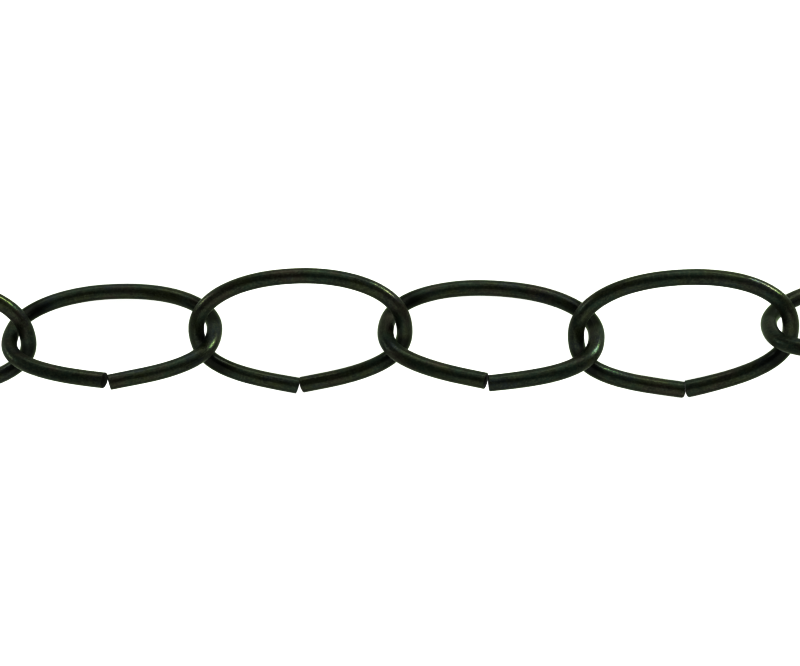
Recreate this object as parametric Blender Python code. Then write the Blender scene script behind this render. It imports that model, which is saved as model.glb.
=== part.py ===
"""Chandelier chain: a straight length of open-split oval wire links.

Units are metres, +Z is up and the chain runs along +X.  Every link is one
piece of round steel wire bent into a wide oval.  Its two sawn ends butt
together halfway along one long side, where the two legs come down to a
shallow V, so only the inner corners of the ends meet.

The chain lies on a level floor.  Neighbouring links lean about 45 degrees to
opposite sides of the chain's line, so each bow hooks square across the next.
"""

import math

import bpy
import numpy as np
from mathutils import Euler, Matrix, Vector

MM = 0.001

# ------------------------------------------------------------ the wire link
WIRE_DIAMETER = 3.05 * MM        # 11 gauge steel wire
LINK_LENGTH = 44.45 * MM         # outside, along the chain
ARCH_RISE = 13.42 * MM           # wire centre above the middle, plain side
BELLY_DROP = 11.02 * MM          # wire centre below the middle, split side
SPLIT_DROP = 3.46 * MM           # extra drop to the point of the V
ARCH_FULLNESS = 2.12             # 2 is an ellipse, more is squarer
BELLY_FULLNESS = 2.66
V_SHARPNESS = 1.20               # 1 gives straight legs down to the V
SPLIT_GAP = 0.30 * MM            # between the inner corners of the sawn ends

# ------------------------------------------------------ how the wire is cut
SIDES = 8                        # flats around the wire
ARCH_STEPS = 15                  # spans from a bow's tip to the arch's crown
BELLY_STEPS = 14                 # whole spans from the split to a bow's tip

# --------------------------------------------------------- how the links lie
# pitch from the link before, sideways offset, turn about the vertical, lean
# about the chain's line, and how far the split stands off the link's middle
LINK_PLACES = (
    (0.00 * MM, 0.50 * MM, -1.5, -45.0, 0.00 * MM),
    (37.86 * MM, -0.40 * MM, 3.1, 45.0, 0.00 * MM),
    (37.94 * MM, 0.48 * MM, 0.3, -44.4, 1.80 * MM),
    (37.96 * MM, 1.23 * MM, 3.3, 44.8, -2.05 * MM),
    (37.88 * MM, 0.92 * MM, -3.6, -43.9, 0.60 * MM),
    (37.36 * MM, 0.86 * MM, 3.0, 45.0, 0.40 * MM),
    (37.03 * MM, 4.50 * MM, 8.6, -56.0, 0.00 * MM),
    (37.04 * MM, 7.20 * MM, -1.0, 38.0, 0.00 * MM),
)

WIRE_RADIUS = WIRE_DIAMETER / 2.0
HALF_SPAN = LINK_LENGTH / 2.0 - WIRE_RADIUS     # wire centre at a bow's tip
# Eight flats with the same cross-section area as the round wire.
FLAT_SCALE = math.sqrt(2.0 * math.pi / (SIDES * math.sin(2.0 * math.pi / SIDES)))
CORNER_RADIUS = WIRE_RADIUS * FLAT_SCALE


def arch_height(x):
    """Wire centre of the plain side above the link's middle line."""
    u = min(abs(x) / HALF_SPAN, 1.0)
    return ARCH_RISE * (1.0 - u ** ARCH_FULLNESS) ** (1.0 / ARCH_FULLNESS)


def belly_height(x, split):
    """Wire centre of the split side, below the middle line, down to the V."""
    u = min(abs(x) / HALF_SPAN, 1.0)
    body = (1.0 - u ** BELLY_FULLNESS) ** (1.0 / BELLY_FULLNESS)
    reach = HALF_SPAN - split if x > split else HALF_SPAN + split
    along_leg = min(abs(x - split) / reach, 1.0)
    return -(BELLY_DROP * body + SPLIT_DROP * (1.0 - along_leg) ** V_SHARPNESS)


def dense_side(height, x_from, x_to, count=1500):
    """Close points from x_from to x_to, packed where the side turns fast."""
    a, b = math.asin(x_from / HALF_SPAN), math.asin(x_to / HALF_SPAN)
    points = []
    for i in range(count + 1):
        x = HALF_SPAN * math.sin(a + (b - a) * i / count)
        points.append((x, height(x)))
    return np.array(points)


def spaced(points, distances):
    """Points at the given distances along a dense line."""
    steps = np.hypot(*np.diff(points, axis=0).T)
    run = np.concatenate(([0.0], np.cumsum(steps)))
    x = np.interp(distances, run, points[:, 0])
    y = np.interp(distances, run, points[:, 1])
    return list(zip(x, y))


def line_length(points):
    return float(np.hypot(*np.diff(points, axis=0).T).sum())


def half_centreline(split):
    """From the sawn end right of the split round the right bow to the arch.

    A span straddles the bow's tip and the crown of the arch, so a flat of the
    wire lies square across each of them.
    """
    slope = SPLIT_DROP * V_SHARPNESS / (HALF_SPAN - split)
    end_x = split + SPLIT_GAP / 2.0 + CORNER_RADIUS * math.sin(math.atan(slope))
    belly = dense_side(lambda x: belly_height(x, split), end_x, HALF_SPAN)
    arch = dense_side(arch_height, HALF_SPAN, 0.0)
    belly_step = line_length(belly) / (BELLY_STEPS + 0.5)
    arch_step = line_length(arch) / ARCH_STEPS
    half = spaced(belly, [belly_step * i for i in range(BELLY_STEPS + 1)])
    half += spaced(arch, [arch_step * (i + 0.5) for i in range(ARCH_STEPS)])
    return half


def link_centreline(split):
    """The wire's centreline in the link's own plane, from end to end.

    It starts at the split, goes round the right bow, over the arch and back
    round the left bow.  The left half is the right half of a link whose split
    stands as far off the middle the other way.
    """
    left = [(-x, y) for x, y in reversed(half_centreline(-split))]
    return half_centreline(split) + left


def link_rotation(index):
    """Lean about the chain's line, then the turn about the vertical."""
    _pitch, _offset, turn, lean, _split = LINK_PLACES[index]
    return Euler((math.radians(lean), 0.0, math.radians(turn)), "XYZ")


def make_wire_material():
    material = bpy.data.materials.new("dark_bronze_wire")
    material.use_nodes = True
    shader = material.node_tree.nodes["Principled BSDF"]
    shader.inputs["Base Color"].default_value = (0.020, 0.024, 0.013, 1.0)
    shader.inputs["Metallic"].default_value = 0.75
    shader.inputs["Roughness"].default_value = 0.38
    material.diffuse_color = (0.020, 0.024, 0.013, 1.0)
    return material


def make_link_curve(points):
    """Round wire along the centreline, with its two sawn ends closed."""
    curve = bpy.data.curves.new("split_oval_link", "CURVE")
    curve.dimensions = "3D"
    curve.twist_mode = "Z_UP"
    curve.bevel_mode = "ROUND"
    curve.bevel_depth = CORNER_RADIUS
    curve.bevel_resolution = (SIDES - 4) // 2
    curve.use_fill_caps = True
    spline = curve.splines.new("POLY")
    spline.points.add(len(points) - 1)
    for point, (x, y) in zip(spline.points, points):
        point.co = (x, y, 0.0, 1.0)
        point.tilt = math.pi / SIDES
    spline.use_smooth = True
    return curve


def lowest_point(wire_object):
    """Lowest z of the finished wire."""
    depsgraph = bpy.context.evaluated_depsgraph_get()
    evaluated = wire_object.evaluated_get(depsgraph)
    mesh = evaluated.to_mesh()
    low = min((evaluated.matrix_world @ v.co).z for v in mesh.vertices)
    evaluated.to_mesh_clear()
    return low


def keep_place_under(child, parent):
    """Parent one object to another and leave it where it lies."""
    child.parent = parent
    child.matrix_parent_inverse = parent.matrix_world.inverted()


def clear_scene():
    for old in list(bpy.data.objects):
        bpy.data.objects.remove(old, do_unlink=True)


def main():
    clear_scene()
    scene = bpy.context.scene
    collection = bpy.data.collections.new("chandelier_chain")
    scene.collection.children.link(collection)

    wire = make_wire_material()

    # the chain's middle stands over the origin
    x_places, x = [], 0.0
    for pitch, _offset, _turn, _lean, _split in LINK_PLACES:
        x += pitch
        x_places.append(x)
    middle_x = (x_places[0] + x_places[-1]) / 2.0

    links = []
    for index, (_pitch, offset, _turn, _lean, split) in enumerate(LINK_PLACES):
        curve = make_link_curve(link_centreline(split))
        curve.materials.append(wire)
        link = bpy.data.objects.new("link_%d" % (index + 1), curve)
        link.rotation_euler = link_rotation(index)
        link.location = (x_places[index] - middle_x, offset, 0.0)
        collection.objects.link(link)
        links.append(link)
    bpy.context.view_layer.update()

    for link in links:
        link.location.z -= lowest_point(link)
    bpy.context.view_layer.update()

    # sideways, the leaning wires reach equally far each way from the origin
    reach = []
    for link, place in zip(links, LINK_PLACES):
        for px, py in link_centreline(place[4]):
            reach.append((link.matrix_world @ Vector((px, py, 0.0))).y)
    middle_y = (min(reach) + max(reach)) / 2.0
    for link in links:
        link.location.y -= middle_y
    bpy.context.view_layer.update()

    # each link swings about the wire of the one before, at the tip of its bow
    for before, link in zip(links, links[1:]):
        pivot = bpy.data.objects.new("pivot_" + link.name, None)
        pivot.empty_display_size = WIRE_DIAMETER
        across = before.matrix_world.to_3x3() @ Vector((0.0, 1.0, 0.0))
        tip = before.matrix_world @ Vector((HALF_SPAN, 0.0, 0.0))
        turn = across.to_track_quat("Z", "Y").to_matrix().to_4x4()
        pivot.matrix_world = Matrix.Translation(tip) @ turn
        collection.objects.link(pivot)
        bpy.context.view_layer.update()
        keep_place_under(pivot, before)
        keep_place_under(link, pivot)
    bpy.context.view_layer.update()


main()
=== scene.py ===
"""Looks of a straight length of dark bronze chandelier chain.

Every link is a fine mesh of its own: round wire swept along the link's
centreline, with two sheared ends, small bending marks and the slight
differences from link to link that hand-fed wire has.
"""

import math

import bpy
import numpy as np
from mathutils import Matrix, Vector


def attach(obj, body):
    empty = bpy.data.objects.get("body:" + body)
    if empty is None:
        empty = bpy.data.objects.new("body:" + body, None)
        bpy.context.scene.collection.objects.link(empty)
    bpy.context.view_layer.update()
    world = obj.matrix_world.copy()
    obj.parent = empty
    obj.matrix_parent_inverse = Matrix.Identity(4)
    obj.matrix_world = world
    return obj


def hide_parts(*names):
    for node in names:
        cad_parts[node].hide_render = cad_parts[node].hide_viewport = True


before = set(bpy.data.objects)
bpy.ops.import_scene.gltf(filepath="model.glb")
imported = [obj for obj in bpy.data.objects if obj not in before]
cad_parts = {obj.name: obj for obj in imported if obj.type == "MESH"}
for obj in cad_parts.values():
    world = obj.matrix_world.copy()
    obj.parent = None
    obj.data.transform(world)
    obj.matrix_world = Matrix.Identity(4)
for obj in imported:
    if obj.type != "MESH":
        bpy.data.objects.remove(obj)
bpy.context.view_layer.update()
scene = bpy.context.scene
MM = 0.001

# ---------------------------------------------------------------- the link
HALF_SPAN = 20.70 * MM

ALONG = 460          # spans of the mesh along one link's wire
AROUND = 48          # faces around the wire

# Where each link lies (x and y of its middle, lean, turn) and how its wire was
# bent, in mm and degrees, left before right.
#   rise, arch     the plain side: its height, and its fullness (2: ellipse)
#   drop, belly    the split side: its depth, and its fullness
#   extra, legs    the V: how far it drops further, and how late the legs start
#   tips           how much further each bow reaches
#   wire, taper    radius under its coat, and how much less on the plain side
#   split, shift   the V's point off the link's middle, and the cut's off that
#   gap, flush     how the ends meet: apart, and the share of the cut that meets
#   miss           how they miss each other, in the link's plane and across it
#   droop, off     how each end bends down, and is cut off square
#   swell, rim     how the shear squeezed each end, and rounded its rim
LINKS = {
    "link_1": dict(
        x=-131.535, y=-3.10, lean=-45.0, turn=-1.5,
        rise=13.45, arch=(2.13, 2.15), drop=11.00, belly=(2.70, 2.68),
        extra=3.50, legs=(1.30, 1.15), tips=(0.00, 0.02), wire=1.590, taper=0.010,
        split=0.00, shift=0.10, gap=0.015, flush=0.06, miss=(0.10, 0.06),
        droop=(0.06, 0.03), off=(3.0, 5.0), swell=(0.01, 0.00), rim=0.22,
    ),
    "link_2": dict(
        x=-93.675, y=-4.00, lean=45.0, turn=3.1,
        rise=13.38, arch=(2.11, 2.15), drop=11.05, belly=(2.66, 2.72),
        extra=3.44, legs=(1.15, 1.30), tips=(-0.02, 0.02), wire=1.590, taper=0.015,
        split=0.00, shift=-0.15, gap=0.015, flush=0.08, miss=(-0.12, 0.10),
        droop=(0.02, 0.08), off=(5.5, 1.5), swell=(0.00, 0.01), rim=0.30,
    ),
    "link_3": dict(
        x=-55.735, y=-3.12, lean=-44.4, turn=0.3,
        rise=13.46, arch=(2.15, 2.11), drop=10.56, belly=(2.70, 2.74),
        extra=3.70, legs=(1.17, 1.09), tips=(-0.03, 0.04), wire=1.572, taper=0.000,
        split=1.80, shift=-0.34, gap=0.010, flush=0.00, miss=(0.30, -0.06),
        droop=(0.06, 0.21), off=(6.5, 5.3), swell=(0.007, -0.014), rim=0.12,
    ),
    "link_4": dict(
        x=-17.775, y=-2.37, lean=44.8, turn=3.3,
        rise=13.49, arch=(2.14, 2.12), drop=10.85, belly=(2.68, 2.77),
        extra=3.52, legs=(1.40, 1.05), tips=(-0.15, 0.18), wire=1.582, taper=0.031,
        split=-2.05, shift=0.38, gap=0.020, flush=0.07, miss=(-0.22, 0.08),
        droop=(0.07, 0.11), off=(6.5, 5.0), swell=(0.007, 0.003), rim=0.07,
    ),
    "link_5": dict(
        x=20.105, y=-2.68, lean=-43.9, turn=-3.6,
        rise=13.42, arch=(2.09, 2.16), drop=11.23, belly=(2.75, 2.61),
        extra=3.40, legs=(1.47, 1.12), tips=(-0.03, 0.04), wire=1.616, taper=0.011,
        split=0.60, shift=-0.03, gap=0.008, flush=0.06, miss=(0.78, -0.05),
        droop=(0.17, -0.08), off=(1.0, -2.5), swell=(-0.016, -0.021), rim=0.17,
    ),
    "link_6": dict(
        x=57.465, y=-2.74, lean=45.0, turn=3.0,
        rise=13.40, arch=(2.18, 2.11), drop=11.75, belly=(2.71, 2.68),
        extra=3.35, legs=(1.45, 1.51), tips=(-0.02, 0.01), wire=1.610, taper=0.038,
        split=0.40, shift=-0.08, gap=0.004, flush=0.30, miss=(-0.17, 0.00),
        droop=(0.03, -0.02), off=(-2.7, 2.2), swell=(-0.026, 0.028), rim=0.44,
    ),
    "link_7": dict(
        x=94.495, y=0.90, lean=-56.0, turn=8.6,
        rise=13.44, arch=(2.12, 2.14), drop=11.02, belly=(2.68, 2.70),
        extra=3.46, legs=(1.20, 1.35), tips=(0.00, 0.00), wire=1.600, taper=0.015,
        split=0.00, shift=0.05, gap=0.015, flush=0.05, miss=(-0.10, 0.08),
        droop=(0.08, 0.04), off=(4.0, 2.0), swell=(0.00, 0.01), rim=0.25,
    ),
    "link_8": dict(
        x=131.535, y=3.60, lean=38.0, turn=-1.0,
        rise=13.40, arch=(2.15, 2.12), drop=11.06, belly=(2.72, 2.66),
        extra=3.42, legs=(1.35, 1.20), tips=(0.02, 0.00), wire=1.590, taper=0.015,
        split=0.00, shift=-0.10, gap=0.015, flush=0.07, miss=(0.12, -0.06),
        droop=(0.03, 0.07), off=(2.0, 6.0), swell=(0.01, 0.00), rim=0.30,
    ),
}


# ------------------------------------------------------------------ camera
def make_camera():
    """Looks almost straight down on the middle of the chain."""
    elevation, swing = math.radians(84.84), math.radians(5.43)
    distance, focal_px = 388.9 * MM, 1970.2
    target = Vector((2.206, -2.914, 11.0)) * MM
    back = Vector((0.0, -math.cos(elevation), math.sin(elevation)))
    up = Vector((0.0, math.sin(elevation), math.cos(elevation)))
    right = Vector((1.0, 0.0, 0.0))
    back, right = (
        back * math.cos(swing) + right * math.sin(swing),
        right * math.cos(swing) - back * math.sin(swing),
    )
    data = bpy.data.cameras.new("camera")
    data.sensor_fit = "HORIZONTAL"
    data.sensor_width = 36.0
    data.lens = focal_px / 800.0 * 36.0
    data.clip_start, data.clip_end = 0.01, 20.0
    camera = bpy.data.objects.new("camera", data)
    turn = Matrix((right, up, back)).transposed().to_4x4()
    camera.matrix_world = Matrix.Translation(target + back * distance) @ turn
    scene.collection.objects.link(camera)
    scene.camera = camera


# -------------------------------------------------------------- centreline
def half_line(link, side, split):
    """Dense points from the V round the bow on that side to the arch's crown."""
    rise, drop, extra = link["rise"] * MM, link["drop"] * MM, link["extra"] * MM
    arch_full, belly_full, late = link["arch"][side], link["belly"][side], link["legs"][side]
    x = HALF_SPAN * np.sin(np.linspace(math.asin(split / HALF_SPAN), math.pi / 2.0, 2401))
    u = np.clip(np.abs(x) / HALF_SPAN, 0.0, 1.0)
    body = (1.0 - u**belly_full) ** (1.0 / belly_full)
    along_leg = np.clip((x - split) / (HALF_SPAN - split), 0.0, 1.0)
    belly = np.stack([x, -(drop * body + extra * (1.0 - along_leg) ** late)], 1)
    x = HALF_SPAN * np.sin(np.linspace(math.pi / 2.0, 0.0, 2401))
    u = x / HALF_SPAN
    arch = np.stack([x, rise * (1.0 - u**arch_full) ** (1.0 / arch_full)], 1)
    return np.concatenate([belly, arch[1:]])


def evenly(points, count):
    run = np.concatenate([[0.0], np.cumsum(np.hypot(*np.diff(points, axis=0).T))])
    s = np.linspace(0.0, run[-1], count)
    return np.stack([np.interp(s, run, points[:, k]) for k in range(2)], 1), run[-1]


def eased(points, reach=1.1 * MM):
    """Points of an open line averaged over a short reach, its ends kept."""
    line, length = evenly(points, 4001)
    step = length / 4000.0
    n = int(3.0 * reach / step)
    weight = np.exp(-0.5 * (np.arange(-n, n + 1) * step / reach) ** 2)
    weight /= weight.sum()
    lead = 2.0 * line[0] - line[n:0:-1]
    tail = 2.0 * line[-1] - line[-2 : -n - 2 : -1]
    padded = np.concatenate([lead, line, tail])
    return np.stack([np.convolve(padded[:, k], weight, "valid") for k in range(2)], 1)


def bump_at(s, centre, width):
    return np.exp(-0.5 * ((s - centre) / width) ** 2)


def link_line(link, seed):
    """3-D centreline from the right of the V to the left, and its two cuts."""
    split = link["split"] * MM
    right = half_line(link, 1, split)
    left = half_line(link, 0, -split)[::-1] * (-1.0, 1.0)
    loop = eased(np.concatenate([right, left[1:]]))
    # easing draws the bows in a little: put their tips back
    reach_left, reach_right = (HALF_SPAN + tip * MM for tip in link["tips"])
    loop[:, 0] = np.where(loop[:, 0] > 0.0, loop[:, 0] * reach_right / loop[:, 0].max(), loop[:, 0] * -reach_left / loop[:, 0].min())
    line, length = evenly(loop, 4001)
    s = np.linspace(0.0, length, 4001)
    out = np.zeros(len(s))
    rng = np.random.default_rng(seed)
    # slow waviness of hand-fed wire
    for k in (2, 3, 4):
        phase = rng.uniform(0.0, 2.0 * math.pi)
        out += rng.normal(0.0, 0.05 * MM) / k * np.sin(2.0 * math.pi * k * s / length + phase)
    # each leg strays a little towards its sheared end, and droops there
    from_right, from_left = s, length - s
    stray_right = np.clip(1.0 - from_right / (11.0 * MM), 0.0, 1.0) ** 2
    stray_left = np.clip(1.0 - from_left / (11.0 * MM), 0.0, 1.0) ** 2
    miss_in, miss_out = link["miss"]
    line[:, 1] += (stray_left - stray_right) * miss_in * MM / 2.0
    out += (stray_right - stray_left) * miss_out * MM / 2.0
    for away, droop in ((from_left, link["droop"][0]), (from_right, link["droop"][1])):
        line[:, 1] -= droop * MM * np.clip(1.0 - away / (6.0 * MM), 0.0, 1.0) ** 2
    # cut the ends back so that their inner corners just miss each other
    head = np.array([line[60] - line[0], line[-61] - line[-1]])
    slope = np.arctan2(head[:, 1], np.abs(head[:, 0]))
    back = link["gap"] * MM / 2.0 + link["wire"] * MM * np.sin(slope)
    at = split + link["shift"] * MM
    start = np.interp(at + back[0], line[:300, 0], s[:300])
    stop = length - np.interp(back[1] - at, -line[::-1][:300, 0], s[:300])
    return np.stack([line[:, 0], line[:, 1], out], 1), s, start, stop


def link_mesh(body, seed):
    """Swept wire with bending marks, rolled rims and sheared end faces."""
    link = LINKS[body]
    line, s, start, stop = link_line(link, seed)
    wire_radius = link["wire"] * MM
    length = stop - start
    rng = np.random.default_rng(seed + 100)
    phi = np.linspace(0.0, 2.0 * math.pi, AROUND, endpoint=False)
    c, n = np.cos(phi), np.sin(phi)      # c: outward in the link's plane

    # rings crowd together at the two ends, for the rims and the cuts; a rim is
    # sharper on the inner side, where the ends press on each other
    rim = link["rim"] * MM * (0.25 + 0.375 * (1.0 + c))[None, :]
    quarter = np.linspace(0.0, math.pi / 2.0, 9)[:-1, None]
    near = rim + np.linspace(0.0, 1.0, 13)[:-1, None] ** 1.5 * (2.6 * MM - rim)
    middle = np.repeat(np.linspace(2.6 * MM, length - 2.6 * MM, ALONG - 40)[:, None], AROUND, 1)
    first = rim * (1.0 - np.cos(quarter))
    run = np.concatenate([first, near, middle, length - near[::-1], length - first[::-1]])
    rounded = rim * (1.0 - np.sin(quarter))
    plain = np.zeros((len(run) - 2 * len(quarter), AROUND))
    rounded = np.concatenate([rounded, plain, rounded[::-1]])

    at = run + start
    centre = np.stack([np.interp(at, s, line[:, k]) for k in range(3)], 2)
    # headings at the ends come from a little way in, so that rims stay round
    at = np.clip(at, start + 0.5 * MM, stop - 0.5 * MM)
    tangent = np.stack([np.interp(at, s, np.gradient(line[:, k], s)) for k in range(3)], 2)
    tangent /= np.linalg.norm(tangent, axis=2)[:, :, None]
    outward = np.cross(tangent, (0.0, 0.0, 1.0))
    outward /= np.linalg.norm(outward, axis=2)[:, :, None]
    up = np.cross(outward, tangent)

    # wire drawn thinner over the plain side, and squeezed by the shear
    size = 1.0 - link["taper"] * centre[:, :, 1] / (link["rise"] * MM)
    size += link["swell"][1] * np.exp(-((run / (5.0 * MM)) ** 2))
    size += link["swell"][0] * np.exp(-(((length - run) / (5.0 * MM)) ** 2))
    radius = (wire_radius - rounded) * size

    # relief on the wire: faint flats from the former inside the bows, two
    # shallow grip marks by each end, and the drawn wire's slight unevenness
    heading = np.unwrap(np.arctan2(*np.gradient(line[:, :2], s, axis=0).T[::-1]))
    turning = np.clip(np.interp(at, s, np.abs(np.gradient(heading, s))) / 140.0, 0.0, 1.0)
    radius -= 0.030 * MM * turning * np.clip(-c, 0.0, 1.0)[None, :] ** 6
    for where in (rng.uniform(3.0, 5.0), rng.uniform(7.5, 10.0)):
        for end in (0.0, 1.0):
            mark = where * MM if end == 0.0 else length - (where + rng.uniform(-0.8, 0.8)) * MM
            deep = rng.uniform(0.012, 0.030) * MM
            facing = rng.choice([0.0, math.pi]) + rng.uniform(-0.35, 0.35)
            across = np.clip(np.cos(phi - facing), 0.0, 1.0) ** 8
            radius -= deep * bump_at(run, mark, 0.55 * MM) * across[None, :]
    for k in range(5):
        turns, period = rng.integers(1, 4), rng.uniform(6.0, 16.0) * MM
        wave = np.sin(2.0 * math.pi * run / period + rng.uniform(0, 6.28)) * np.cos(turns * phi + rng.uniform(0, 6.28))[None, :]
        radius += 0.0035 * MM * wave

    ring = centre + radius[:, :, None] * (c[None, :, None] * outward + n[None, :, None] * up)

    # each cut lies flush with the other by their inner corners, and further out
    # it leans away
    q = radius * c[None, :] + wire_radius
    past = 2.0 * wire_radius * link["flush"]
    beyond = 0.5 * (q - past + np.sqrt((q - past) ** 2 + (0.10 * MM) ** 2))
    for row, away, off, sign in ((0, run, link["off"][1], 1.0), (-1, length - run, link["off"][0], -1.0)):
        leg = abs(float((tangent[row, :, 1] / tangent[row, :, 0]).mean()))
        fade = np.clip(1.0 - away / (2.4 * MM), 0.0, 1.0) ** 2
        push = (beyond * (leg + math.tan(math.radians(off))) - q * leg) * fade
        ring += (sign * push)[:, :, None] * tangent

    rings = len(run)
    coat = np.stack([run + 0.31 * seed, radius * c[None, :], radius * n[None, :]], 2)
    edge = np.clip(1.0 - np.minimum(run, length - run) / (0.40 * MM), 0.0, 1.0)
    at_tip = np.clip((np.abs(centre[:, :, 0]) - (HALF_SPAN - 1.6 * MM)) / (1.6 * MM), 0.0, 1.0)
    rub = at_tip * np.clip(-c, 0.0, 1.0)[None, :] ** 2
    # painted shade: low on the bows, where the next link hooks, the finish is made darker and less reflective, for the
    # shade and dark reflections that fall there; the finish is taken as darkest low on the bows, where the next link
    # hooks: a guess, because what is dark there may be only what it reflects
    below = -centre[:, :, 1] * math.copysign(1.0, link["lean"]) / MM
    shade = np.clip((below - 1.2) / 1.6, 0.0, 1.0) * np.clip((10.5 - below) / 2.5, 0.0, 1.0)
    shade = shade * np.clip(0.95 - 0.35 * c, 0.0, 1.0)[None, :]

    j = np.arange(AROUND)
    k = (j + 1) % AROUND
    faces = []
    for i in range(rings - 1):
        a, b = i * AROUND, (i + 1) * AROUND
        faces.append(np.stack([a + j, b + j, b + k, a + k], 1))

    # end faces: concentric rings with the shear's slight dish and drag lines
    all_verts, all_coat = [ring.reshape(-1, 3)], [coat.reshape(-1, 3)]
    all_edge, all_rub, all_sawn = [edge.ravel()], [rub.ravel()], [np.zeros(edge.size)]
    all_shade = [shade.ravel()]
    all_quads, tris, count = [np.concatenate(faces)], [], rings * AROUND
    for end in (0, 1):
        row = 0 if end == 0 else rings - 1
        into = tangent[row].mean(0) * (1.0 if end == 0 else -1.0)
        previous = row * AROUND + j
        outer = ring[row]
        mean = outer.mean(0)
        for share in (0.90, 0.76, 0.60, 0.44, 0.28, 0.12):
            flat = mean + (outer - mean) * share
            u = ((flat - mean) * outward[row]).sum(1)
            w = ((flat - mean) * up[row]).sum(1)
            dish = 0.030 * MM * (1.0 - share) + 0.010 * MM * (1.0 + np.sin(u / (0.16 * MM) + seed)) * share + 0.008 * MM * (1.0 + np.sin(w / (0.27 * MM) + 2 * seed))
            flat = flat + into[None, :] * dish[:, None]
            here, beside = count + j, count + k
            if end == 0:
                all_quads.append(np.stack([previous, np.roll(previous, -1), beside, here], 1))
            else:
                all_quads.append(np.stack([previous, here, beside, np.roll(previous, -1)], 1))
            all_verts.append(flat)
            cc = np.stack([np.full(AROUND, (0.0 if end == 0 else length) + 0.31 * seed + 0.002), u, w], 1)
            all_coat.append(cc)
            all_edge.append(np.full(AROUND, 1.0 if share > 0.8 else 0.55))
            all_rub.append(np.zeros(AROUND))
            all_sawn.append(np.ones(AROUND))
            all_shade.append(np.zeros(AROUND))
            previous = here
            count += AROUND
        all_verts.append((mean + into * 0.030 * MM)[None, :])
        all_coat.append(np.array([[(0.0 if end == 0 else length) + 0.31 * seed + 0.002, 0.0, 0.0]]))
        all_edge.append(np.array([0.55]))
        all_rub.append(np.zeros(1))
        all_sawn.append(np.ones(1))
        all_shade.append(np.zeros(1))
        for q in range(AROUND):
            a, b = previous[q], previous[(q + 1) % AROUND]
            tris.append((a, b, count) if end == 0 else (b, a, count))
        count += 1

    mesh = bpy.data.meshes.new(body + "_wire")
    quads = np.concatenate(all_quads)
    polygons = [tuple(int(v) for v in q) for q in quads] + [tuple(int(v) for v in t) for t in tris]
    mesh.from_pydata(np.concatenate(all_verts).tolist(), [], polygons)
    mesh.update()
    mesh.shade_smooth()
    vec = mesh.attributes.new("wire_co", "FLOAT_VECTOR", "POINT")
    vec.data.foreach_set("vector", np.concatenate(all_coat).astype(np.float32).ravel())
    for label, values in (("shear_edge", all_edge), ("bow_rub", all_rub), ("sawn_face", all_sawn), ("painted_hook_shade", all_shade)):
        att = mesh.attributes.new(label, "FLOAT", "POINT")
        att.data.foreach_set("value", np.concatenate(values).astype(np.float32))
    return mesh


# ---------------------------------------------------------------- material
def new_material(name):
    material = bpy.data.materials.new(name)
    material.use_nodes = True
    tree = material.node_tree
    tree.nodes.clear()
    out = tree.nodes.new("ShaderNodeOutputMaterial")
    shader = tree.nodes.new("ShaderNodeBsdfPrincipled")
    tree.links.new(shader.outputs["BSDF"], out.inputs["Surface"])
    return material, tree, shader


def attribute(tree, name, output):
    node = tree.nodes.new("ShaderNodeAttribute")
    node.attribute_name = name
    return node.outputs[output]


def stretched(tree, vector, scale):
    node = tree.nodes.new("ShaderNodeVectorMath")
    node.operation = "MULTIPLY"
    tree.links.new(vector, node.inputs[0])
    node.inputs[1].default_value = scale
    return node.outputs[0]


def shifted(tree, vector, offset):
    node = tree.nodes.new("ShaderNodeVectorMath")
    node.operation = "ADD"
    tree.links.new(vector, node.inputs[0])
    node.inputs[1].default_value = offset
    return node.outputs[0]


def noise(tree, vector, scale, detail=3.0, rough=0.5):
    node = tree.nodes.new("ShaderNodeTexNoise")
    node.inputs["Scale"].default_value = scale
    node.inputs["Detail"].default_value = detail
    node.inputs["Roughness"].default_value = rough
    tree.links.new(vector, node.inputs["Vector"])
    return node.outputs["Fac"]


def span(tree, value, low, high, to_low, to_high):
    node = tree.nodes.new("ShaderNodeMapRange")
    node.interpolation_type = "SMOOTHSTEP"
    tree.links.new(value, node.inputs["Value"])
    for key, number in zip(("From Min", "From Max", "To Min", "To Max"), (low, high, to_low, to_high)):
        node.inputs[key].default_value = number
    return node.outputs["Result"]


def math_node(tree, operation, a, b):
    node = tree.nodes.new("ShaderNodeMath")
    node.operation = operation
    for socket, value in zip(node.inputs, (a, b)):
        if isinstance(value, (int, float)):
            socket.default_value = value
        else:
            tree.links.new(value, socket)
    return node.outputs[0]


def mix_colour(tree, fac, a, b):
    node = tree.nodes.new("ShaderNodeMix")
    node.data_type = "RGBA"
    if isinstance(fac, (int, float)):
        node.inputs[0].default_value = fac
    else:
        tree.links.new(fac, node.inputs[0])
    for socket, value in ((node.inputs[6], a), (node.inputs[7], b)):
        if isinstance(value, tuple):
            socket.default_value = value
        else:
            tree.links.new(value, socket)
    return node.outputs[2]


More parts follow.
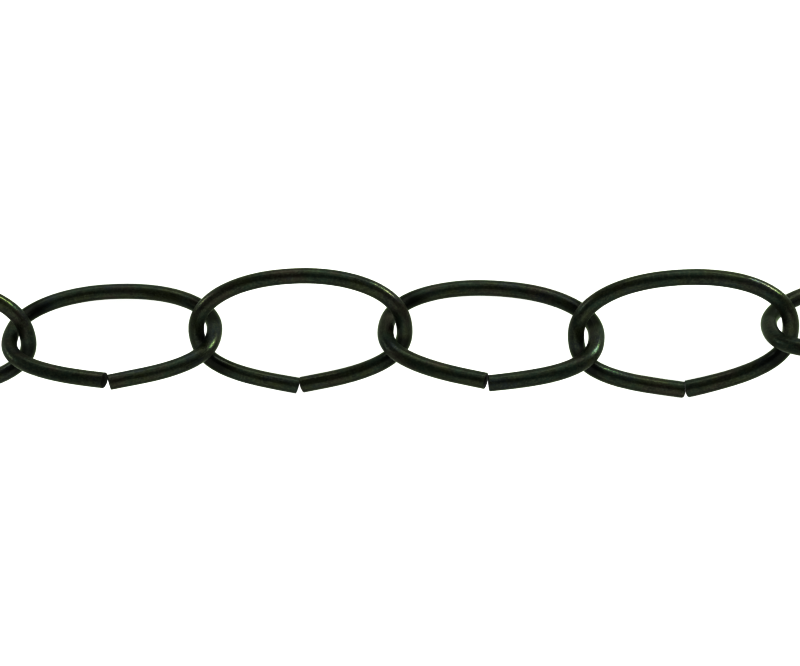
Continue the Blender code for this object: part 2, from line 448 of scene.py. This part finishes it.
def make_wire_material():
    """Dark bronze lacquer, more or less green, over drawn steel wire."""
    material, tree, shader = new_material("dark_bronze_lacquer")
    co = attribute(tree, "wire_co", "Vector")
    edge = attribute(tree, "shear_edge", "Fac")
    rub = attribute(tree, "bow_rub", "Fac")
    sawn = attribute(tree, "sawn_face", "Fac")
    hook = attribute(tree, "painted_hook_shade", "Fac")

    cloud = noise(tree, stretched(tree, co, (0.55, 1.0, 1.0)), 330.0, 2.0, 0.5)
    drift = noise(tree, shifted(tree, stretched(tree, co, (0.45, 0.9, 0.9)), (0.37, 0.11, 0.23)), 300.0, 2.0, 0.5)
    haze = noise(tree, shifted(tree, stretched(tree, co, (0.45, 0.9, 0.9)), (0.71, 0.43, 0.09)), 300.0, 2.0, 0.5)
    blotch = noise(tree, stretched(tree, co, (0.8, 1.0, 1.0)), 900.0, 4.0, 0.6)
    drawn = noise(tree, stretched(tree, co, (0.02, 1.0, 1.0)), 5200.0, 3.0, 0.6)
    fine = noise(tree, stretched(tree, co, (0.8, 1.0, 1.0)), 3000.0, 3.0, 0.55)
    rolled = noise(tree, stretched(tree, co, (1.0, 0.12, 0.12)), 3300.0, 1.0, 0.5)
    where_rolled = span(tree, drift, 0.30, 0.48, 1.0, 0.0)

    # olive, with clouds of green, brown and blue bronze, and dark and light flecks
    colour = mix_colour(tree, span(tree, cloud, 0.38, 0.60, 0.0, 1.0), (0.0250, 0.0315, 0.0088, 1.0), (0.0128, 0.0292, 0.0172, 1.0))
    colour = mix_colour(tree, span(tree, drift, 0.50, 0.64, 0.0, 0.85), colour, (0.0290, 0.0222, 0.0146, 1.0))
    colour = mix_colour(tree, span(tree, haze, 0.54, 0.68, 0.0, 0.80), colour, (0.0137, 0.0200, 0.0262, 1.0))
    colour = mix_colour(tree, span(tree, blotch, 0.42, 0.68, 0.0, 0.80), colour, (0.0058, 0.0084, 0.0040, 1.0))
    colour = mix_colour(tree, span(tree, fine, 0.46, 0.64, 0.0, 0.70), colour, (0.0450, 0.0550, 0.0300, 1.0))
    streak = math_node(tree, "MULTIPLY", span(tree, rolled, 0.42, 0.62, 0.0, 0.45), where_rolled)
    colour = mix_colour(tree, streak, colour, (0.0090, 0.0110, 0.0065, 1.0))
    # painted shade: the sawn faces are darker, for the shade in the narrow gap where the ends meet; the lacquer is thin
    # in places on their rims and rubbed inside the bows
    colour = mix_colour(tree, math_node(tree, "MULTIPLY", sawn, 0.85), colour, (0.0085, 0.0080, 0.0058, 1.0))
    # painted shade: darker low on the bows where the next link hooks
    colour = mix_colour(tree, math_node(tree, "MULTIPLY", hook, 0.90), colour, (0.0040, 0.0050, 0.0036, 1.0))
    speck = span(tree, blotch, 0.42, 0.66, 0.0, 1.0)
    worn_edge = math_node(tree, "MULTIPLY", span(tree, edge, 0.60, 1.0, 0.0, 0.30), speck)
    worn_rub = math_node(tree, "MULTIPLY", span(tree, rub, 0.35, 1.0, 0.0, 0.6), speck)
    worn = math_node(tree, "MAXIMUM", worn_edge, worn_rub)
    colour = mix_colour(tree, worn, colour, (0.085, 0.078, 0.058, 1.0))
    tree.links.new(colour, shader.inputs["Base Color"])

    rough = span(tree, cloud, 0.30, 0.70, 0.26, 0.36)
    rough = math_node(tree, "ADD", rough, span(tree, drawn, 0.3, 0.7, -0.04, 0.05))
    rough = math_node(tree, "SUBTRACT", rough, math_node(tree, "MULTIPLY", worn, 0.10))
    rough = math_node(tree, "ADD", rough, math_node(tree, "MULTIPLY", sawn, 0.45))
    tree.links.new(rough, shader.inputs["Roughness"])
    # painted shade: the metal share rises where the bows are hooked, so with the dark base colour they reflect less
    tree.links.new(span(tree, hook, 0.0, 0.9, 0.62, 1.0), shader.inputs["Metallic"])
    shader.inputs["IOR"].default_value = 1.5
    shader.inputs["Specular IOR Level"].default_value = 0.25
    shader.inputs["Specular Tint"].default_value = (0.86, 1.0, 0.74, 1.0)
    shader.inputs["Coat Weight"].default_value = 0.09
    shader.inputs["Coat Roughness"].default_value = 0.24

    height = None
    for source, strength, distance in (
        (drawn, 0.40, 0.00002),
        (blotch, 0.55, 0.00004),
        (fine, 0.40, 0.00003),
        (streak, 0.30, 0.00002),
    ):
        bump = tree.nodes.new("ShaderNodeBump")
        bump.inputs["Strength"].default_value = strength
        bump.inputs["Distance"].default_value = distance
        tree.links.new(source, bump.inputs["Height"])
        if height is not None:
            tree.links.new(height, bump.inputs["Normal"])
        height = bump.outputs["Normal"]
    tree.links.new(height, shader.inputs["Normal"])
    return material


def make_floor_material():
    material, tree, shader = new_material("pale_floor")
    where = tree.nodes.new("ShaderNodeTexCoord")
    grain = noise(tree, where.outputs["Object"], 9.0, 2.0, 0.5)
    colour = mix_colour(tree, grain, (0.56, 0.56, 0.555, 1.0), (0.58, 0.58, 0.575, 1.0))
    tree.links.new(colour, shader.inputs["Base Color"])
    shader.inputs["Roughness"].default_value = 0.9
    shader.inputs["Specular IOR Level"].default_value = 0.1
    # a table of milky sheet, lit from below as well
    shader.inputs["Emission Color"].default_value = (1.0, 1.0, 1.0, 1.0)
    shader.inputs["Emission Strength"].default_value = 0.27
    return material


# ------------------------------------------------------------- floor, light
def make_floor():
    mesh = bpy.data.meshes.new("floor")
    r = 3.0
    mesh.from_pydata([(-r, -r, 0), (r, -r, 0), (r, r, 0), (-r, r, 0)], [], [(0, 1, 2, 3)])
    mesh.materials.append(make_floor_material())
    floor = bpy.data.objects.new("floor", mesh)
    floor.location.z = -0.00003
    scene.collection.objects.link(floor)


def soft_box(name, azimuth, elevation, distance, width, height, brightness):
    """A softbox that faces the chain; azimuth 0 is +X and 90 is +Y."""
    az, el = math.radians(azimuth), math.radians(elevation)
    place = Vector((math.cos(el) * math.cos(az), math.cos(el) * math.sin(az), math.sin(el))) * distance
    data = bpy.data.lights.new(name, "AREA")
    data.shape = "RECTANGLE"
    data.size, data.size_y = width, height
    data.energy = brightness * math.pi * width * height
    light = bpy.data.objects.new(name, data)
    light.location = place
    light.rotation_mode = "QUATERNION"
    light.rotation_quaternion = (-place).to_track_quat("-Z", "Y")
    light.visible_camera = False
    scene.collection.objects.link(light)


def make_light():
    """A dim room round the table, softboxes low at its sides, none on top."""
    world = bpy.data.worlds.new("studio")
    world.use_nodes = True
    tree = world.node_tree
    sky = tree.nodes["Background"]
    direction = tree.nodes.new("ShaderNodeTexCoord")
    parts = tree.nodes.new("ShaderNodeSeparateXYZ")
    tree.links.new(direction.outputs["Generated"], parts.inputs[0])
    ramp = tree.nodes.new("ShaderNodeValToRGB")
    ramp.color_ramp.interpolation = "EASE"
    stops = ((0.0, 0.60), (0.12, 0.45), (0.40, 0.30), (0.75, 0.155))
    while len(ramp.color_ramp.elements) < len(stops):
        ramp.color_ramp.elements.new(0.5)
    for element, (position, grey) in zip(ramp.color_ramp.elements, stops):
        element.position = position
        element.color = (grey, grey, grey, 1.0)
    tree.links.new(parts.outputs["Z"], ramp.inputs["Fac"])
    tree.links.new(ramp.outputs["Color"], sky.inputs["Color"])
    sky.inputs["Strength"].default_value = 1.0
    scene.world = world
    soft_box("soft_back", 82.0, 19.0, 1.2, 1.7, 0.52, 2.9)
    soft_box("soft_back_high", 80.0, 51.0, 1.0, 0.9, 0.42, 1.15)
    soft_box("soft_front", 275.0, 33.0, 1.1, 1.6, 1.30, 1.18)
    soft_box("strip_left", 167.0, 4.0, 1.2, 0.5, 0.20, 9.5)
    soft_box("strip_right", 35.0, 5.0, 1.2, 0.68, 0.24, 16.5)


def make_tone():
    """A contrasty print: deep darks, and a white table without a grey cast."""
    view = scene.view_settings
    view.view_transform = "Standard"
    view.look = "None"
    view.use_curve_mapping = True
    mapping = view.curve_mapping
    mapping.extend = "EXTRAPOLATED"
    curve = mapping.curves[3]
    for point, place in zip(curve.points, ((0.0, 0.0), (1.0, 1.6))):
        point.location = place
    for x, y in ((0.05, 0.0262), (0.10, 0.0640), (0.19, 0.275), (0.325, 0.68), (0.44, 1.0)):
        curve.points.new(x, y)
    mapping.update()


# ------------------------------------------------------------------- build
make_camera()
make_light()
make_floor()
wire = make_wire_material()
for index, (body, link) in enumerate(LINKS.items()):
    mesh = link_mesh(body, 11 + index)
    mesh.materials.append(wire)
    piece = bpy.data.objects.new(body + "_wire", mesh)
    rotation = Matrix.Rotation(math.radians(link["turn"]), 4, "Z") @ Matrix.Rotation(math.radians(link["lean"]), 4, "X")
    # the wire rests on the floor with its lowest side
    coords = np.empty(len(mesh.vertices) * 3)
    mesh.vertices.foreach_get("co", coords)
    low = (coords.reshape(-1, 3) @ np.array(rotation.to_3x3()).T)[:, 2].min()
    piece.matrix_world = Matrix.Translation((link["x"] * MM, link["y"] * MM, -low)) @ rotation
    scene.collection.objects.link(piece)
    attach(piece, body)
    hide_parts(body)

make_tone()
